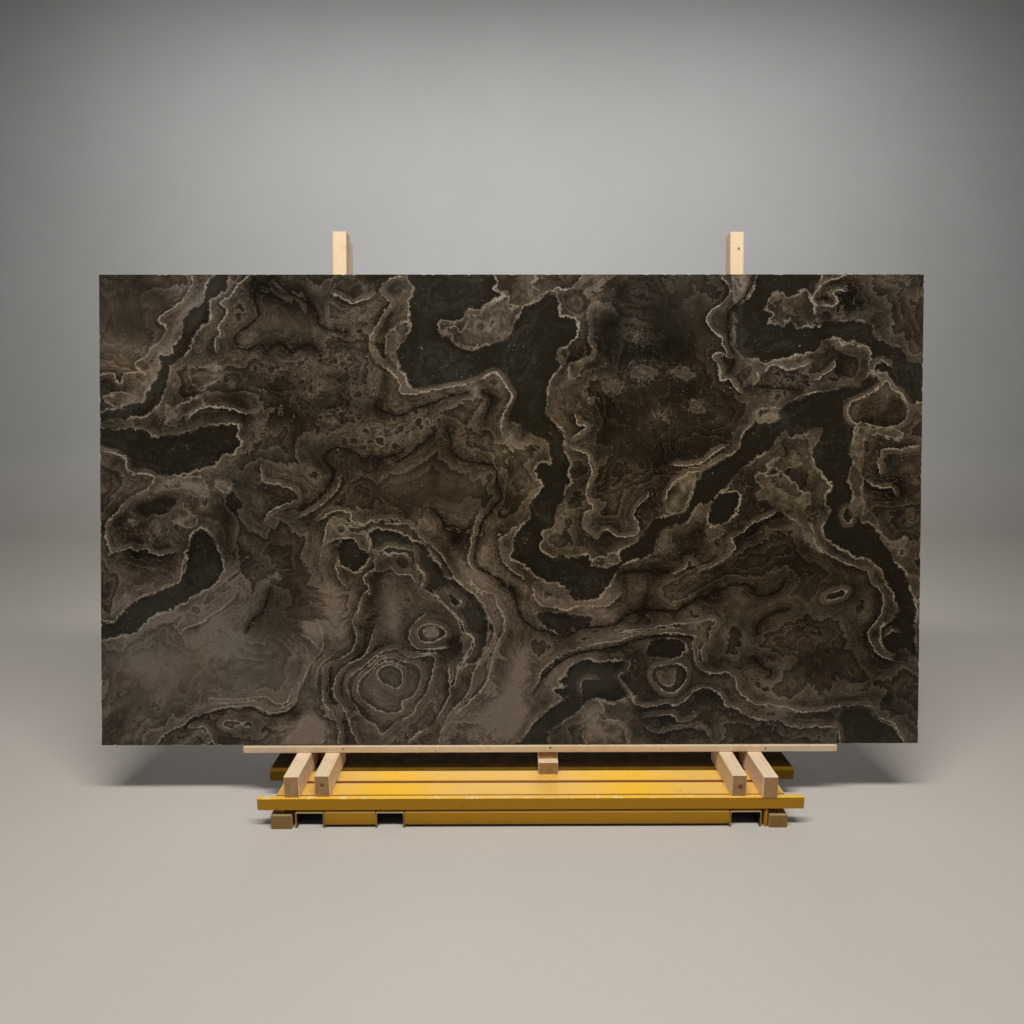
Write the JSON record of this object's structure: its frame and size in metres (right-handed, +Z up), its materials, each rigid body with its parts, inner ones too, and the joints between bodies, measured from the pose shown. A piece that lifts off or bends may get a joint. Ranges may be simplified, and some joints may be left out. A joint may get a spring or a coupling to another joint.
{
  "type": "rough marble slab on a stand",
  "caption": "Polished dark brown veined marble slab standing on edge, leaning on a yellow steel and timber stand.",
  "frame": {"origin": "on the floor, at the centre of the footprint", "axes": "+X to the right along the slab's length, +Y from the polished face to the back of the stand, +Z up"},
  "size_m": [3.008, 0.8, 2.0762],
  "materials": {
    "marble": "polished face, honed back, sawn edges",
    "timber": "sawn softwood, unfinished",
    "yellow_paint": "worn enamel",
    "steel": "dull, lightly rusted"
  },
  "bodies": {
    "root": {"slab": "marble", "sill_board": "timber", "bearer_left_outer": "timber", "bearer_left_inner": "timber", "bearer_right_inner": "timber", "bearer_right_outer": "timber", "centre_block_lower": "timber", "centre_block_upper": "timber", "end_block_left": "timber", "end_block_right": "timber", "back_post_left": "timber", "back_post_right": "timber", "back_post_packer": "timber", "front_rail": "yellow_paint", "deck_channel_front": "yellow_paint", "deck_channel_middle": "yellow_paint", "deck_channel_foot": "yellow_paint", "deck_channel_back": "yellow_paint", "skid_channel_left": "yellow_paint", "skid_channel_middle": "yellow_paint", "skid_channel_right": "yellow_paint", "runner_bar_right": "yellow_paint", "lower_rail_front_left": "yellow_paint", "lower_rail_front_middle": "yellow_paint", "lower_rail_back_left": "yellow_paint", "lower_rail_back_middle": "yellow_paint", "block_wedge": "yellow_paint", "mast_left": "yellow_paint", "mast_right": "yellow_paint", "crossbar_low": "yellow_paint", "crossbar_high": "yellow_paint", "brace_left": "yellow_paint", "brace_right": "yellow_paint", "brace_tie": "yellow_paint", "packing_bar_left": "steel", "packing_bar_middle": "steel", "packing_bar_right": "steel", "post_bolt_left_low": "steel", "post_bolt_left_high": "steel", "post_bolt_right_low": "steel", "post_bolt_right_high": "steel"}
  },
  "joints": []
}
